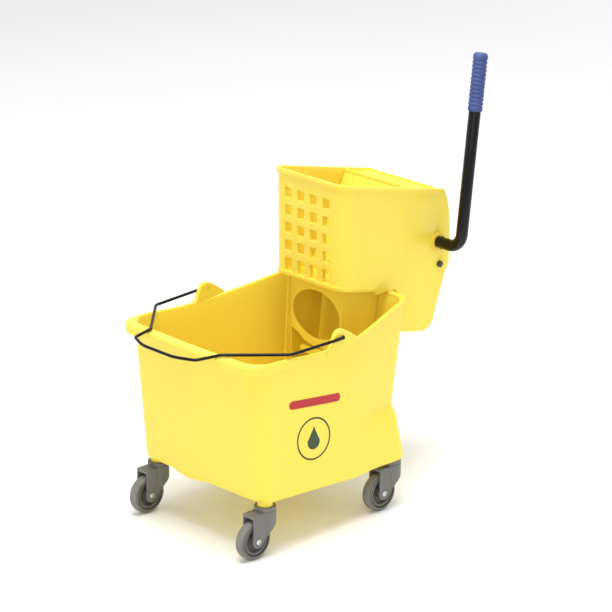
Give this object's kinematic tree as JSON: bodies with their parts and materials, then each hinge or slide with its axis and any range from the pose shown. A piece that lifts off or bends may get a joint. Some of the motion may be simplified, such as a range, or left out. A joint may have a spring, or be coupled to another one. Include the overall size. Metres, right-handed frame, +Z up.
{
  "type": "mop bucket with wringer",
  "caption": "Yellow wheeled mop bucket with a wire bail and a lift-off side-press wringer worked by a tall side lever with a blue grip.",
  "frame": {"origin": "middle of the footprint at floor level, under the wheels", "axes": "+Z up, -Y the low front of the bucket, +Y the wringer, +X the lever's side"},
  "size_m": [0.3978, 0.7034, 0.8704],
  "materials": {
    "yellow_plastic": "satin",
    "fork_plastic": "satin",
    "core_plastic": "satin",
    "tread_rubber": "matte",
    "zinc": "satin",
    "black_wire": "gloss",
    "black_tube": "gloss",
    "black_steel": "satin",
    "blue_grip": "matte",
    "bush_plastic": "satin"
  },
  "bodies": {
    "bucket": {"bucket": "yellow_plastic", "stem_sockets": "zinc"},
    "swivel_front_right": {"fork_front_right": "fork_plastic", "stem_front_right": "zinc", "axle_front_right": "zinc"},
    "roller_front_right": {"wheel_front_right": "core_plastic", "tread_front_right": "tread_rubber"},
    "swivel_front_left": {"fork_front_left": "fork_plastic", "stem_front_left": "zinc", "axle_front_left": "zinc"},
    "roller_front_left": {"wheel_front_left": "core_plastic", "tread_front_left": "tread_rubber"},
    "swivel_rear_right": {"fork_rear_right": "fork_plastic", "stem_rear_right": "zinc", "axle_rear_right": "zinc"},
    "roller_rear_right": {"wheel_rear_right": "core_plastic", "tread_rear_right": "tread_rubber"},
    "swivel_rear_left": {"fork_rear_left": "fork_plastic", "stem_rear_left": "zinc", "axle_rear_left": "zinc"},
    "roller_rear_left": {"wheel_rear_left": "core_plastic", "tread_rear_left": "tread_rubber"},
    "bail": {"bail": "black_wire"},
    "wringer": {"wringer_housing": "yellow_plastic", "shaft_bushes": "bush_plastic", "tie_bolt": "black_steel", "tie_nut": "black_steel", "plate_hinge_pin": "zinc"},
    "lever": {"lever_tube": "black_tube", "lever_pin": "black_steel", "lever_grip": "blue_grip", "cross_shaft": "zinc", "shaft_clip": "zinc", "crank_arms": "zinc", "crank_pins": "zinc"},
    "plate": {"press_plate": "yellow_plastic", "plate_drive_pins": "zinc"},
    "links": {"link_bars": "zinc"}
  },
  "joints": [
    {"name": "swivel_front_right", "type": "hinge", "parent": "bucket", "child": "swivel_front_right", "pos_m": [0.152, -0.22272, 0.1], "axis": [0, 0, 1], "continuous": true},
    {"name": "spin_front_right", "type": "hinge", "parent": "swivel_front_right", "child": "roller_front_right", "pos_m": [0.152, -0.25372, 0.0381], "axis": [1, 0, 0], "continuous": true},
    {"name": "swivel_front_left", "type": "hinge", "parent": "bucket", "child": "swivel_front_left", "pos_m": [-0.152, -0.22272, 0.1], "axis": [0, 0, 1], "continuous": true},
    {"name": "spin_front_left", "type": "hinge", "parent": "swivel_front_left", "child": "roller_front_left", "pos_m": [-0.152, -0.25372, 0.0381], "axis": [1, 0, 0], "continuous": true},
    {"name": "swivel_rear_right", "type": "hinge", "parent": "bucket", "child": "swivel_rear_right", "pos_m": [0.152, 0.10928, 0.1], "axis": [0, 0, 1], "continuous": true},
    {"name": "spin_rear_right", "type": "hinge", "parent": "swivel_rear_right", "child": "roller_rear_right", "pos_m": [0.152, 0.07828, 0.0381], "axis": [1, 0, 0], "continuous": true},
    {"name": "swivel_rear_left", "type": "hinge", "parent": "bucket", "child": "swivel_rear_left", "pos_m": [-0.152, 0.10928, 0.1], "axis": [0, 0, 1], "continuous": true},
    {"name": "spin_rear_left", "type": "hinge", "parent": "swivel_rear_left", "child": "roller_rear_left", "pos_m": [-0.152, 0.07828, 0.0381], "axis": [1, 0, 0], "continuous": true},
    {"name": "bail_swing", "type": "hinge", "parent": "bucket", "child": "bail", "pos_m": [0, -0.05972, 0.4024], "axis": [-1, 0, 0], "range_deg": [0, 100]},
    {"name": "wringer_lift", "type": "slide", "parent": "bucket", "child": "wringer", "axis": [0, 0, 1], "range_m": [0, 0.3]},
    {"name": "lever_press", "type": "hinge", "parent": "wringer", "child": "lever", "pos_m": [0, 0.29128, 0.488], "axis": [1, 0, 0], "range_deg": [0, 72]},
    {"name": "plate_tilt", "type": "hinge", "parent": "wringer", "child": "plate", "pos_m": [0, 0.13028, 0.43], "axis": [1, 0, 0], "range_deg": [0, 41.99]},
    {"name": "link_turn", "type": "hinge", "parent": "lever", "child": "links", "pos_m": [0, 0.31035, 0.52542], "axis": [1, 0, 0], "range_deg": [-83.07, 0]}
  ],
  "couplings": [
    {"joint": "plate_tilt", "follows": "lever_press", "ratio": 0.5825},
    {"joint": "link_turn", "follows": "lever_press", "ratio": -1.1531}
  ]
}
